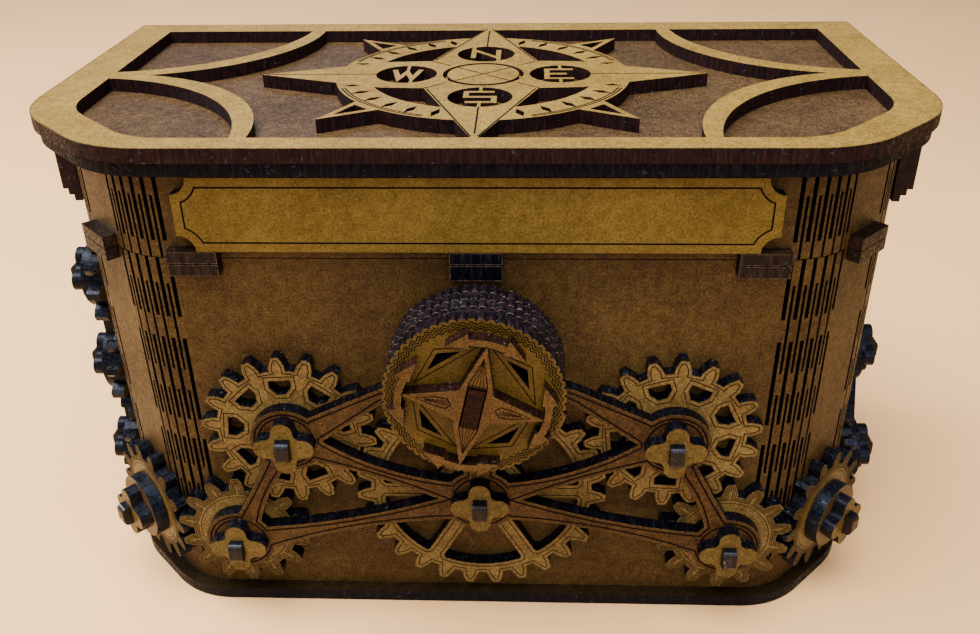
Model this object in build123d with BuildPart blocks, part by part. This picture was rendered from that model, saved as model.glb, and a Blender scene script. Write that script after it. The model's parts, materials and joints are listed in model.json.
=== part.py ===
# Keepsake box of laser-cut fibreboard with a train of gears on its walls.
# The box stands on its base plate: X is its width, Y its depth from front to back, Z is up.
# The origin is the middle of the underside of the base plate. Lengths are millimetres.

import os
from math import acos, cos, pi, radians, sin, sqrt, tan

from build123d import *

# Sheet and fits
sheet = 3.0
glue_fit = 0.1
peg_fit = 0.05
running_fit = 0.06
side_play = 0.3

# Overall sizes of the box
body_width = 177.2
body_depth = 89.0
height = 117.6
lid_height = 25.7
seam_gap = 0.2
corner_cut = 19.0
corner_bend = 17.7
foot_overhang = 3.1
lid_overhang = 6.4
lid_back_overhang = 2.7
panel_inset = 1.0
rim_width = 8.0

# Bending slits in the corners of the walls
slit_columns = 11
seam_slit_width = 0.9
slit_width = 0.6
slit_length = 21.3
slit_bridge = 5.3
odd_slit_start = 5.8
lid_slit_end = 3.9
lid_slit_start = 6.0

# Lid fretwork
front_bar = 6.0
side_bar = 9.8
back_bar = 7.7
corner_bar = 8.3
arm_root_half = 2.5
arm_cusp_reach = 8.0
arm_window_middle = (54.0, 22.2)
arm_window_end = 46.5
arm_outer_middle = (51.2, 17.3)
arm_outer_end = 43.6

# Compass rose
rose_ring_outer = 33.0
rose_ring_inner = 25.5
rose_long_tip = 44.9
rose_side_tip = 50.5
rose_valley = (12.5, 11.0)
rose_side_shoulder = (22.0, 10.4)
rose_corner_tip = 45.5
rose_corner_half_angle = 6.8
rose_corner_border = 1.2
rose_slits = 6
rose_slit_length = 5.2
rose_slit_width = 1.8
rose_slit_first = 17.0
rose_slit_last = 73.0
letter_place = 17.4
letter_hole = 6.9
letter_height = 7.2
letter_width = 6.0
letter_stroke = 1.2
letter_tie = 0.7
groove_radius = 8.65
groove_width = 1.1
groove_depth = 1.5

# Plaque on the front of the lid
plaque_width = 118.4
plaque_height = 15.7
plaque_bottom = 2.9
plaque_notch = 3.5

# Stepped plaques on the sides of the lid
side_plaque_width = 46.0
side_plaque_height = 16.1
side_plaque_layers = 3
side_plaque_sheet = 1.6
side_plaque_step = 1.0

# Blocks along the seam and the magnetic catch
block_width = 10.3
block_height = 2.6
block_depth = 3.0
block_place = 57.1
catch_width = 10.6
catch_upper = 2.6
catch_lower = 3.4
magnet_diameter = 5.0

# Gears
module = 2.0
pressure_angle = 25.0
addendum = 1.4
dedendum = 1.9
tooth_play = 0.3
corner_tooth_play = 0.9
flank_points = 4
pinion_teeth = 10
centre_teeth = 27
upper_teeth = 18
lower_teeth = 14
corner_teeth = 14
side_low_teeth = 14
side_teeth = 12

# Places of the axles
centre_height = 34.9
upper_angle = 20.7
lower_angle = -64.1
corner_shift = 0.0
side_place = 32.5
right_high_angle = 67.3

# Axles: a flat peg in a round bushing, closed by a four-lobed nut
peg_width = 3.0
peg_height = 5.0
peg_head = 12.0
peg_stick_out = 2.2
peg_round = 1.3
bushing_diameter = 8.0
nut_span = 13.2
nut_lobe = 4.8
nut_round = 1.6
corner_washer_diameter = 16.0
side_link_width = 4.0

# Windows in the gears
centre_spokes = 6
centre_spoke_width = 3.8
centre_window_outer = 22.2
centre_window_inner = 10.5
centre_window_round = 0.8
upper_windows = 9
upper_window_place = 12.05
upper_window_points = ((1.5, 2.4), (1.5, -2.4), (-0.2, -2.45), (-2.0, -1.0), (-2.0, 1.0), (-0.2, 2.45))

# Knob
knob_diameter = 36.0
knob_plain_diameter = 34.8
knob_teeth = 60
knob_tooth_depth = 0.6
knob_tooth_round = 0.15
knob_plain_sheet = 1.6
knob_axle_diameter = 10.0
knob_retainer_diameter = 16.0
knob_turn = -12.0
key_width = 3.2
key_height = 8.6
key_stick_out = 0.3
knob_window_end = 11.0
knob_window_tip = 12.4
knob_window_half_angle = 21.0
star_tip = 14.1
star_valley = 4.8
star_arc_inner = 13.8
star_arc_outer = 15.2
star_arc_half_angle = 14.0
star_fluke_inner = 13.3
star_fluke_outer = 16.4
star_fluke_tip = 14.5
star_fluke_half_angle = 32.0

# Bridge plate over the front gears, half of it, as (x, z)
hub_radius = 8.0
centre_hub_radius = 8.2
stem_half_width = 3.5
upper_arm_top = ((-5.5, 39.8), (-20.3, 43.3), (-34.3, 50.8))
upper_arm_bottom = ((-36.5, 45.5), (-23.5, 41.3), (-9.3, 35.2))
lower_arm_top = ((-9.3, 35.2), (-27.1, 29.9), (-51.4, 26.0))
lower_arm_bottom = ((-49.0, 19.7), (-29.0, 26.1), (-6.2, 29.4))
strut_outer = ((-47.1, 45.8), (-51.1, 37.9), (-56.2, 28.8))
strut_inner = ((-51.0, 26.1), (-48.6, 34.0), (-44.3, 41.8))
wing_top = ((-36.9, 56.9), (-20.9, 64.6))
wing_bottom = ((-34.3, 50.8), (-20.6, 60.9))

# Hinges at the back
hinge_place = 50.0
hinge_sheet = 1.0
knuckle_diameter = 4.0
knuckle_length = 6.0
knuckle_gap = 0.2
pin_diameter = 2.0
leaf_height = 9.5
leaf_start = 2.4

# Sizes that follow from those above
front = -body_depth / 2
back = body_depth / 2
half_width = body_width / 2
lid_plate_bottom = height - 2 * sheet
seam_height = height - lid_height
body_wall_top = seam_height
lid_wall_bottom = seam_height + seam_gap
bend_reach = corner_bend * tan(radians(22.5))
cut_per_inset = 2 - sqrt(2)
lid_front = front - lid_overhang
lid_back_edge = back + lid_back_overhang
lid_middle = (lid_front + lid_back_edge) / 2
lid_half_depth = (lid_back_edge - lid_front) / 2
lid_half_width = half_width + lid_overhang
gear_back = side_play
gear_front = gear_back + sheet
bridge_back = gear_front + side_play
bridge_front = bridge_back + sheet
nut_front = bridge_front + sheet
peg_end = nut_front + peg_stick_out
hinge_axis_y = back + knuckle_diameter / 2 + 0.1
hinge_axis_z = seam_height + seam_gap / 2

os.makedirs("parts", exist_ok=True)


def save(piece, name):
    """Label a finished piece and write its STEP file."""
    piece.part.label = name
    export_step(piece.part, "parts/" + name + ".step")


def box_outline(inset, back_edge):
    """Plan of the box moved inwards by inset: cut and rounded front corners, square back."""
    half = half_width - inset
    edge = front + inset
    cut = corner_cut - cut_per_inset * inset
    with BuildSketch() as outline:
        with BuildLine():
            Polyline(
                (-half, back_edge),
                (-half, edge + cut),
                (-half + cut, edge),
                (half - cut, edge),
                (half, edge + cut),
                (half, back_edge),
                close=True,
            )
        make_face()
        rows = outline.vertices().group_by(Axis.Y)
        fillet(rows[0] + rows[1], corner_bend - inset)
    return outline.sketch


def wall_plane(x, y, z, outward):
    """Plane on a wall: its normal points outwards at the given plan angle, its y axis is up."""
    turn = radians(outward)
    return Plane(origin=(x, y, z), x_dir=(-sin(turn), cos(turn), 0), z_dir=(cos(turn), sin(turn), 0))


def plate(name, outline, first):
    """A flat plate of the box's own outline."""
    with BuildPart() as piece:
        with BuildSketch(Plane.XY.offset(first)):
            add(outline)
        extrude(amount=sheet)
    save(piece, name)


def on_circle(radius, angle, centre=(0.0, 0.0)):
    """Point on a circle, angle in degrees."""
    return (centre[0] + radius * cos(radians(angle)), centre[1] + radius * sin(radians(angle)))


# Walls bent at the corners by columns of slits

bends = (
    (half_width - corner_cut - bend_reach, front + corner_bend, -90),
    (half_width - corner_bend, front + corner_cut + bend_reach, -45),
    (corner_bend - half_width, front + corner_cut + bend_reach, 180),
    (corner_cut + bend_reach - half_width, front + corner_bend, 225),
)
column_angle = 45 / slit_columns
even_columns = (slit_columns + 1) // 2
odd_columns = slit_columns // 2


def slit_outline(first, count, width):
    """Plan of every second column of slits at all four bends."""
    with BuildSketch() as outline:
        for x, y, start in bends:
            with Locations((x, y)):
                with PolarLocations(
                    radius=corner_bend - sheet / 2,
                    count=count,
                    start_angle=start + (first + 0.5) * column_angle,
                    angular_range=count * 2 * column_angle,
                    endpoint=False,
                ):
                    Rectangle(2 * sheet, width)
    return outline.sketch


def bent_wall(name, bottom, top, slits, holes):
    """Front, corners and sides in one bent sheet: slits are (outline, low, high)."""
    with BuildPart() as wall:
        with BuildSketch(Plane.XY.offset(bottom)):
            add(box_outline(0, back))
            add(box_outline(sheet, back + sheet), mode=Mode.SUBTRACT)
        extrude(amount=top - bottom)
        for outline, low, high in slits:
            with BuildSketch(Plane.XY.offset(low)):
                add(outline)
            extrude(amount=high - low, mode=Mode.SUBTRACT)
        for plane, width, tall in holes:
            with BuildSketch(plane.offset(-2 * sheet)):
                if tall:
                    Rectangle(width, tall)
                else:
                    Circle(width / 2)
            extrude(amount=3 * sheet, mode=Mode.SUBTRACT)
    save(wall, name)


# Places of the gears and the angle at which each one rests in mesh with the one before


def meshed(turn, teeth, direction, next_teeth):
    """Turn of the next gear, so that its gap faces a tooth of a gear that is turned by turn."""
    share = (direction - turn) * teeth / 360
    return direction + 180 - (0.5 - share) * 360 / next_teeth


def pitch_radius(teeth):
    """Pitch radius of a gear of the train."""
    return module * teeth / 2


def reach(teeth, next_teeth):
    """Distance between two axles in mesh."""
    return pitch_radius(teeth) + pitch_radius(next_teeth)


centre_turn = -90 + 180 / centre_teeth
knob_height = centre_height + reach(centre_teeth, pinion_teeth)
pinion_turn = meshed(centre_turn, centre_teeth, 90, pinion_teeth)

front_axles = {}
front_axles["centre"] = (0.0, centre_height)
gear_turns = {"centre_gear": centre_turn}
for side, sign in (("left", -1), ("right", 1)):
    upper_way = 90 - sign * (90 - upper_angle)
    upper = on_circle(reach(centre_teeth, upper_teeth), upper_way, (0.0, centre_height))
    lower_way = 90 - sign * (90 - lower_angle)
    lower = on_circle(reach(upper_teeth, lower_teeth), lower_way, upper)
    front_axles["upper_" + side] = upper
    front_axles["lower_" + side] = lower
    upper_turn = meshed(centre_turn, centre_teeth, upper_way, upper_teeth)
    lower_turn = meshed(upper_turn, upper_teeth, lower_way, lower_teeth)
    corner_turn = meshed(lower_turn, lower_teeth, 90 - sign * 90, corner_teeth)
    gear_turns["upper_" + side + "_gear"] = upper_turn
    gear_turns["lower_" + side + "_gear"] = lower_turn
    gear_turns[side + "_corner_gear"] = corner_turn
    side_low_turn = meshed(corner_turn, corner_teeth, 90 - sign * 90, side_low_teeth)
    gear_turns[side + "_low_side_gear"] = side_low_turn

lower_height = front_axles["lower_left"][1]
front_stations = {key: wall_plane(x, front, z, -90) for key, (x, z) in front_axles.items()}
knob_station = wall_plane(0, front, knob_height, -90)

# The middle of each cut corner, moved towards the side by corner_shift
corner_x = half_width - corner_cut / 2 + corner_shift / sqrt(2)
corner_y = front + corner_cut / 2 + corner_shift / sqrt(2)
corner_stations = {
    "left": wall_plane(-corner_x, corner_y, lower_height, 225),
    "right": wall_plane(corner_x, corner_y, lower_height, -45),
}

side_y = front + side_place
left_middle_height = lower_height + reach(side_low_teeth, side_teeth)
left_high_height = left_middle_height + reach(side_teeth, side_teeth)
right_reach = reach(side_low_teeth, side_teeth)
right_high_y = side_y + right_reach * cos(radians(right_high_angle))
right_high_z = lower_height + right_reach * sin(radians(right_high_angle))
side_stations = {
    "left_low": wall_plane(-half_width, side_y, lower_height, 180),
    "left_middle": wall_plane(-half_width, side_y, left_middle_height, 180),
    "left_high": wall_plane(-half_width, side_y, left_high_height, 180),
    "right_low": wall_plane(half_width, side_y, lower_height, 0),
    "right_high": wall_plane(half_width, right_high_y, right_high_z, 0),
}
left_low_turn = gear_turns["left_low_side_gear"]
left_middle_turn = meshed(left_low_turn, side_low_teeth, 90, side_teeth)
left_high_turn = meshed(left_middle_turn, side_teeth, 90, side_teeth)
right_low_turn = gear_turns["right_low_side_gear"]
right_high_turn = meshed(right_low_turn, side_low_teeth, right_high_angle, side_teeth)
gear_turns["left_middle_side_gear"] = left_middle_turn
gear_turns["left_high_side_gear"] = left_high_turn
gear_turns["right_high_side_gear"] = right_high_turn

all_stations = list(front_stations.values()) + list(corner_stations.values()) + list(side_stations.values())

# Base plate and the liner that locates the walls

plate("base_plate", box_outline(-foot_overhang, back + foot_overhang), 0)
liner_outline = box_outline(sheet + glue_fit, back - sheet - glue_fit)
plate("base_liner", liner_outline, sheet)

# Body walls

even_slits = slit_outline(0, even_columns, seam_slit_width)
odd_slits = slit_outline(1, odd_columns, slit_width)
slit_pitch = slit_length + slit_bridge
first_odd_low = seam_height - odd_slit_start - slit_length
body_slits = []
row = 0
while first_odd_low - row * slit_pitch > 2 * sheet:
    odd_low = first_odd_low - row * slit_pitch
    body_slits.append((odd_slits, odd_low, odd_low + slit_length))
    row += 1
row = 0
while first_odd_low + slit_pitch / 2 - row * slit_pitch > 2 * sheet:
    even_low = first_odd_low + slit_pitch / 2 - row * slit_pitch
    even_high = min(even_low + slit_length, body_wall_top + sheet)
    body_slits.append((even_slits, even_low, even_high))
    row += 1

peg_hole = (peg_width + 2 * peg_fit, peg_height + 2 * peg_fit)
wall_holes = [(plane, peg_hole[0], peg_hole[1]) for plane in all_stations]
wall_holes.append((knob_station, knob_axle_diameter + 2 * running_fit, 0))
bent_wall("body_wrap", sheet, body_wall_top, body_slits, wall_holes)

with BuildPart() as back_panel:
    with BuildSketch(Plane.XY.offset(sheet)):
        with Locations((0, back - sheet / 2)):
            Rectangle(body_width - 2 * sheet, sheet)
    extrude(amount=body_wall_top - sheet)
save(back_panel, "back_panel")


def rim(name, bottom):
    """Ring that stiffens the walls at the seam and holds the magnet at the front."""
    inset = sheet + glue_fit
    with BuildPart() as ring:
        with BuildSketch(Plane.XY.offset(bottom)):
            add(box_outline(inset, back - inset))
            add(box_outline(inset + rim_width, back - inset - rim_width), mode=Mode.SUBTRACT)
            with Locations((0, front + inset + rim_width / 2)):
                Circle(magnet_diameter / 2 + glue_fit, mode=Mode.SUBTRACT)
        extrude(amount=sheet)
    save(ring, name)


def magnet(name, bottom):
    """Round magnet in its pocket in a rim."""
    with BuildPart() as disc:
        with BuildSketch(Plane.XY.offset(bottom)):
            with Locations((0, front + sheet + glue_fit + rim_width / 2)):
                Circle(magnet_diameter / 2)
        extrude(amount=sheet)
    save(disc, name)


rim("body_rim", body_wall_top - sheet)
rim("lid_rim", lid_wall_bottom)
magnet("body_magnet", body_wall_top - sheet)
magnet("lid_magnet", lid_wall_bottom)

# Lid walls and the plates inside and on top of them

lid_slits = (
    (even_slits, seam_height + lid_slit_end, height),
    (odd_slits, seam_height, lid_plate_bottom - lid_slit_start),
)
bent_wall("lid_wrap", lid_wall_bottom, lid_plate_bottom, lid_slits, ())

with BuildPart() as lid_back:
    with BuildSketch(Plane.XY.offset(lid_wall_bottom)):
        with Locations((0, back - sheet / 2)):
            Rectangle(body_width - 2 * sheet, sheet)
    extrude(amount=lid_plate_bottom - lid_wall_bottom)
save(lid_back, "lid_back")

plate("lid_former", liner_outline, lid_plate_bottom - sheet)
panel_outline = box_outline(panel_inset - lid_overhang, lid_back_edge - panel_inset)
plate("lid_panel", panel_outline, lid_plate_bottom)

# Fretwork of the lid: a frame with two curved arms at each side

lid_top = Plane(origin=(0, lid_middle, height - sheet))
window_back = lid_half_depth - back_bar
window_front = front_bar - lid_half_depth
window_side = lid_half_width - side_bar
lid_cut = corner_cut + cut_per_inset * lid_overhang
corner_sum = lid_half_width + lid_half_depth - lid_cut - corner_bar * sqrt(2)
arm_end = lid_half_depth - front_bar / 2
arm_start = -window_side - side_bar / 2

with BuildSketch() as fret_opening:
    with BuildLine():
        Polyline(
            (-window_side, window_back),
            (-window_side, window_side - corner_sum),
            (-window_front - corner_sum, window_front),
            (window_front + corner_sum, window_front),
            (window_side, window_side - corner_sum),
            (window_side, window_back),
            close=True,
        )
    make_face()
    opening_rows = fret_opening.vertices().group_by(Axis.Y)
    fillet(opening_rows[0] + opening_rows[1], corner_bend + lid_overhang - corner_bar)

with BuildSketch() as fret_arms:
    with BuildLine():
        window_root = (-window_side, arm_root_half)
        window_middle = (-arm_window_middle[0], arm_window_middle[1])
        outer_middle = (-arm_outer_middle[0], arm_outer_middle[1])
        cusp = (arm_cusp_reach - window_side, 0)
        ThreePointArc(window_root, window_middle, (-arm_window_end, arm_end))
        Line((-arm_window_end, arm_end), (-arm_outer_end, arm_end))
        ThreePointArc((-arm_outer_end, arm_end), outer_middle, cusp)
        Polyline(cusp, (arm_start, 0), (arm_start, arm_root_half), window_root)
    make_face()
    mirror(about=Plane.XZ)
    mirror(about=Plane.YZ)

with BuildPart() as lid_fret:
    with BuildSketch(lid_top):
        with Locations((0, -lid_middle)):
            add(box_outline(-lid_overhang, lid_back_edge))
        add(fret_opening.sketch, mode=Mode.SUBTRACT)
        add(fret_arms.sketch)
    extrude(amount=sheet)
save(lid_fret, "lid_fret")

# Compass rose, cut from the same sheet as the fretwork and laid between its front and back bars


def letter_lines(letter):
    """Centre lines of a plain capital letter, then those of the ties that hold it in its hole."""
    a = letter_width / 2
    b = letter_height / 2
    middle_ties = [((0, b), (0, letter_hole)), ((0, -b), (0, -letter_hole))]
    side_ties = [((-a, b), (-a, letter_hole)), ((a, -b), (a, -letter_hole))]
    foot_ties = [((0, b / 2), (0, letter_hole)), ((a / 2, -b), (a / 2, -letter_hole))]
    lines = {
        "N": ([((-a, -b), (-a, b), (a, -b), (a, b))], side_ties),
        "E": ([((a, b), (-a, b), (-a, -b), (a, -b)), ((-a, 0), (a / 2, 0))], middle_ties),
        "S": ([((a, b), (-a, b), (-a, 0), (a, 0), (a, -b), (-a, -b))], middle_ties),
        "W": ([((-a, b), (-a / 2, -b), (0, b / 2), (a / 2, -b), (a, b))], foot_ties),
    }
    return lines[letter]


def rose_star():
    """Corners of the four-pointed star, clockwise from the north tip."""
    quarter = [(0, rose_long_tip), rose_valley, rose_side_shoulder, (rose_side_tip, 0)]
    half = quarter + [(x, -y) for x, y in reversed(quarter[:-1])]
    return half + [(-x, y) for x, y in reversed(half[1:-1])]


rose_corner_base = rose_ring_outer * cos(radians(rose_corner_half_angle))
rose_corner_half = rose_ring_outer * sin(radians(rose_corner_half_angle))
rose_corner_slope = rose_corner_half / (rose_corner_tip - rose_corner_base)
rose_border_across = rose_corner_border * sqrt(1 + rose_corner_slope**2)
rose_hole_base = rose_ring_outer + rose_corner_border
rose_hole_half = rose_corner_slope * (rose_corner_tip - rose_hole_base) - rose_border_across
rose_hole_tip = rose_corner_tip - rose_border_across / rose_corner_slope

with BuildPart() as compass_rose:
    with BuildSketch(lid_top) as rose_sketch:
        Circle(rose_ring_outer)
        with PolarLocations(radius=0, count=4, start_angle=45):
            Polygon(
                (rose_corner_tip, 0),
                (rose_corner_base, rose_corner_half),
                (rose_corner_base, -rose_corner_half),
                align=None,
            )
            Polygon(
                (rose_hole_tip, 0),
                (rose_hole_base, rose_hole_half),
                (rose_hole_base, -rose_hole_half),
                align=None,
                mode=Mode.SUBTRACT,
            )
        Circle(rose_ring_inner, mode=Mode.SUBTRACT)
        for quarter_start in range(0, 360, 90):
            with PolarLocations(
                radius=(rose_ring_outer + rose_ring_inner) / 2,
                count=rose_slits,
                start_angle=quarter_start + rose_slit_first,
                angular_range=rose_slit_last - rose_slit_first,
                endpoint=True,
            ):
                Polygon(
                    (-rose_slit_length / 2, 0),
                    (0, rose_slit_width / 2),
                    (rose_slit_length / 2, 0),
                    (0, -rose_slit_width / 2),
                    align=None,
                    mode=Mode.SUBTRACT,
                )
        Polygon(*rose_star(), align=None)
        for place in range(0, 360, 90):
            with Locations(on_circle(letter_place, place)):
                Circle(letter_hole, mode=Mode.SUBTRACT)
        for letter, place in (("E", 0), ("N", 90), ("W", 180), ("S", 270)):
            x, y = on_circle(letter_place, place)
            for strokes, wide in zip(letter_lines(letter), (letter_stroke, letter_tie)):
                with BuildLine():
                    for stroke in strokes:
                        Polyline(*[(x + a, y + b) for a, b in stroke])
                trace(line_width=wide)
        with Locations((0, (window_back + window_front) / 2)):
            Rectangle(2 * rose_side_tip, window_back - window_front, mode=Mode.INTERSECT)
    extrude(amount=sheet)
    with BuildSketch(lid_top.offset(sheet)):
        Circle(groove_radius + groove_width / 2)
        Circle(groove_radius - groove_width / 2, mode=Mode.SUBTRACT)
    extrude(amount=-groove_depth, mode=Mode.SUBTRACT)
save(compass_rose, "compass_rose")

# Plaque on the front of the lid, and the stepped plaques under its side overhangs

plaque_middle = seam_height + plaque_bottom + plaque_height / 2
with BuildPart() as plaque:
    with BuildSketch(wall_plane(0, front, plaque_middle, -90)):
        Rectangle(plaque_width, plaque_height)
        with GridLocations(plaque_width, plaque_height, 2, 2):
            Circle(plaque_notch, mode=Mode.SUBTRACT)
    extrude(amount=sheet)
save(plaque, "plaque")

for side, sign, outward in (("left", -1, 180), ("right", 1, 0)):
    with BuildPart() as side_plaque:
        for layer in range(side_plaque_layers):
            tall = side_plaque_height - layer * side_plaque_step
            wide = side_plaque_width - 2 * layer * side_plaque_step
            middle = lid_plate_bottom - tall / 2
            base = wall_plane(sign * half_width, 0, middle, outward)
            with BuildSketch(base.offset(layer * side_plaque_sheet)):
                Rectangle(wide, tall)
            extrude(amount=side_plaque_sheet)
    save(side_plaque, side + "_side_plaque")

# Pairs of blocks that mark the seam, and the two halves of the catch


def seam_planes(z):
    """Places of the blocks: two on the front and one on each cut corner."""
    middle_x = half_width - corner_cut / 2
    middle_y = front + corner_cut / 2
    return [
        wall_plane(-block_place, front, z, -90),
        wall_plane(block_place, front, z, -90),
        wall_plane(-middle_x, middle_y, z, 225),
        wall_plane(middle_x, middle_y, z, -45),
    ]


def blocks(name, planes, width, tall):
    """Blocks glued to the wall."""
    with BuildPart() as group:
        for plane in planes:
            with BuildSketch(plane):
                Rectangle(width, tall)
            extrude(amount=block_depth)
    save(group, name)


blocks("upper_seam_blocks", seam_planes(lid_wall_bottom + block_height / 2), block_width, block_height)
blocks("lower_seam_blocks", seam_planes(body_wall_top - block_height / 2), block_width, block_height)
upper_catch_plane = wall_plane(0, front, lid_wall_bottom + catch_upper / 2, -90)
lower_catch_plane = wall_plane(0, front, body_wall_top - catch_lower / 2, -90)
blocks("upper_catch", [upper_catch_plane], catch_width, catch_upper)
blocks("lower_catch", [lower_catch_plane], catch_width, catch_lower)

# Two hinges behind the back panel, at the seam

knuckle_pitch = knuckle_length + knuckle_gap
hinge_width = 3 * knuckle_length + 2 * knuckle_gap


def hinge_leaves(name, way, knuckles):
    """Leaves of both hinges: way is 1 upwards or -1 downwards, knuckles their places."""
    with BuildPart() as leaves:
        for x in (-hinge_place, hinge_place):
            with BuildSketch(Plane.XZ.offset(-back - hinge_sheet)):
                with Locations((x, hinge_axis_z + way * (leaf_start + leaf_height) / 2)):
                    Rectangle(hinge_width, leaf_height - leaf_start)
                for knuckle in knuckles:
                    with Locations((x + knuckle * knuckle_pitch, hinge_axis_z + way * leaf_start / 2)):
                        Rectangle(knuckle_length, leaf_start)
            extrude(amount=hinge_sheet)
            for knuckle in knuckles:
                start = x + knuckle * knuckle_pitch - knuckle_length / 2
                with BuildSketch(Plane.YZ.offset(start)):
                    with Locations((hinge_axis_y, hinge_axis_z)):
                        Circle(knuckle_diameter / 2)
                extrude(amount=knuckle_length)
            with BuildSketch(Plane.YZ.offset(x - hinge_width)):
                with Locations((hinge_axis_y, hinge_axis_z)):
                    Circle(pin_diameter / 2 + running_fit)
            extrude(amount=2 * hinge_width, mode=Mode.SUBTRACT)
    save(leaves, name)


hinge_leaves("body_hinge_leaves", -1, (-1, 1))
hinge_leaves("lid_hinge_leaves", 1, (0,))

with BuildPart() as hinge_pins:
    for x in (-hinge_place, hinge_place):
        with BuildSketch(Plane.YZ.offset(x - hinge_width / 2)):
            with Locations((hinge_axis_y, hinge_axis_z)):
                Circle(pin_diameter / 2)
        extrude(amount=hinge_width)
save(hinge_pins, "hinge_pins")

# Bridge plate over the front gears


def bridge_half():
    """Left half of the bridge plate without its hubs."""
    upper = front_axles["upper_left"]
    lower = front_axles["lower_left"]
    with BuildSketch() as half:
        with BuildLine():
            ThreePointArc(*upper_arm_top)
            Polyline(upper_arm_top[-1], upper, upper_arm_bottom[0])
            ThreePointArc(*upper_arm_bottom)
            Polyline(upper_arm_bottom[-1], (0, centre_height), upper_arm_top[0])
        make_face()
        with BuildLine():
            ThreePointArc(*lower_arm_top)
            Polyline(lower_arm_top[-1], lower, lower_arm_bottom[0])
            ThreePointArc(*lower_arm_bottom)
            Polyline(lower_arm_bottom[-1], (0, centre_height), lower_arm_top[0])
        make_face()
        with BuildLine():
            ThreePointArc(*strut_outer)
            Polyline(strut_outer[-1], lower, strut_inner[0])
            ThreePointArc(*strut_inner)
            Polyline(strut_inner[-1], upper, strut_outer[0])
        make_face()
        with BuildLine():
            Polyline(*wing_top, (0, knob_height), *reversed(wing_bottom), upper, close=True)
        make_face()
    return half.sketch


with BuildPart() as bridge_plate:
    with BuildSketch(wall_plane(0, front, 0, -90).offset(bridge_back)):
        add(bridge_half())
        mirror(about=Plane.YZ)
        with Locations((0, (centre_height + knob_height) / 2)):
            Rectangle(2 * stem_half_width, knob_height - centre_height)
        with Locations((0, centre_height)):
            Circle(centre_hub_radius)
        hubs = [place for key, place in front_axles.items() if key != "centre"]
        with Locations(*hubs, (0, knob_height)):
            Circle(hub_radius)
        with Locations(*front_axles.values()):
            Rectangle(*peg_hole, mode=Mode.SUBTRACT)
        with Locations((0, knob_height)):
            Circle(knob_axle_diameter / 2 + running_fit, mode=Mode.SUBTRACT)
    extrude(amount=sheet)
save(bridge_plate, "bridge_plate")

# Axles of the gears: bushings, washers, nuts and pegs


def discs(name, stations, diameter, first, thickness):
    """Round pieces with a slot for the peg."""
    with BuildPart() as group:
        for plane in stations:
            with BuildSketch(plane.offset(first)):
                Circle(diameter / 2)
                Rectangle(*peg_hole, mode=Mode.SUBTRACT)
            extrude(amount=thickness)
    save(group, name)


def nuts(name, stations, first):
    """Four-lobed nuts with a slot for the peg."""
    with BuildSketch() as outline:
        SlotOverall(nut_span, nut_lobe)
        SlotOverall(nut_span, nut_lobe, rotation=90)
        fillet(outline.vertices().sort_by_distance((0, 0, 0))[:4], nut_round)
        Rectangle(*peg_hole, mode=Mode.SUBTRACT)
    with BuildPart() as group:
        for plane in stations:
            with BuildSketch(plane.offset(first)):
                add(outline.sketch)
            extrude(amount=sheet)
    save(group, name)


def pegs(name, stations, end):
    """Flat pegs with a head inside the wall and a rounded tip outside."""
    with BuildPart() as group:
        for plane in stations:
            flat = Plane(origin=plane.origin, x_dir=plane.z_dir, z_dir=plane.x_dir)
            with BuildSketch(flat) as profile:
                with Locations(((end - sheet) / 2, 0)):
                    Rectangle(end + sheet, peg_height)
                fillet(profile.vertices().group_by(Axis.X)[-1], peg_round)
                with Locations((-1.5 * sheet, 0)):
                    Rectangle(sheet, peg_head)
            extrude(amount=peg_width / 2, both=True)
    save(group, name)


washer_back = gear_front + side_play
washer_front = washer_back + sheet
for group, stations in (("front", front_stations), ("corner", corner_stations), ("side", side_stations)):
    places = list(stations.values())
    discs(group + "_bushings", places, bushing_diameter, 0, washer_back)
    nuts(group + "_nuts", places, washer_front)
    pegs(group + "_pegs", places, peg_end)
discs("corner_washers", list(corner_stations.values()), corner_washer_diameter, washer_back, sheet)

for side in ("left", "right"):
    planes = [plane for place, plane in side_stations.items() if place.startswith(side)]
    hubs = [planes[0].to_local_coords(plane.origin) for plane in planes]
    with BuildPart() as side_link:
        with BuildSketch(planes[0].offset(washer_back)):
            with BuildLine():
                Polyline(*hubs)
            trace(line_width=side_link_width)
            with Locations(*hubs):
                Circle(hub_radius)
                Rectangle(*peg_hole, mode=Mode.SUBTRACT)
        extrude(amount=sheet)
    save(side_link, side + "_side_link")

# Gears


def involute(angle):
    """Involute function of a pressure angle in radians."""
    return tan(angle) - angle


def gear_outline(teeth, turn, play):
    """Outline of a gear: flanks by the involute formula, one tooth centred at turn."""
    pitch = pitch_radius(teeth)
    base = pitch * cos(radians(pressure_angle))
    root = pitch - dedendum
    tip = pitch + addendum
    half_tooth = pi / (2 * teeth) - play / (4 * pitch) + involute(radians(pressure_angle))
    low = max(base, root)
    flank = [(root, half_tooth)] if root < base else []
    for step in range(flank_points):
        radius = low + (tip - low) * step / (flank_points - 1)
        flank.append((radius, half_tooth - involute(acos(base / radius))))
    points = []
    for tooth in range(teeth):
        middle = radians(turn) + 2 * pi * tooth / teeth
        points += [(r * cos(middle - a), r * sin(middle - a)) for r, a in flank]
        points += [(r * cos(middle + a), r * sin(middle + a)) for r, a in reversed(flank)]
    with BuildSketch() as outline:
        with BuildLine():
            Polyline(*points, close=True)
        make_face()
    return outline.sketch


def spoked_windows():
    """Windows between the spokes of the centre gear."""
    with BuildSketch() as windows:
        Circle(centre_window_outer)
        Circle(centre_window_inner, mode=Mode.SUBTRACT)
        with PolarLocations(radius=centre_window_outer / 2, count=centre_spokes, start_angle=-60):
            Rectangle(centre_window_outer, centre_spoke_width, mode=Mode.SUBTRACT)
        fillet(windows.vertices(), centre_window_round)
    return windows.sketch


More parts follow.
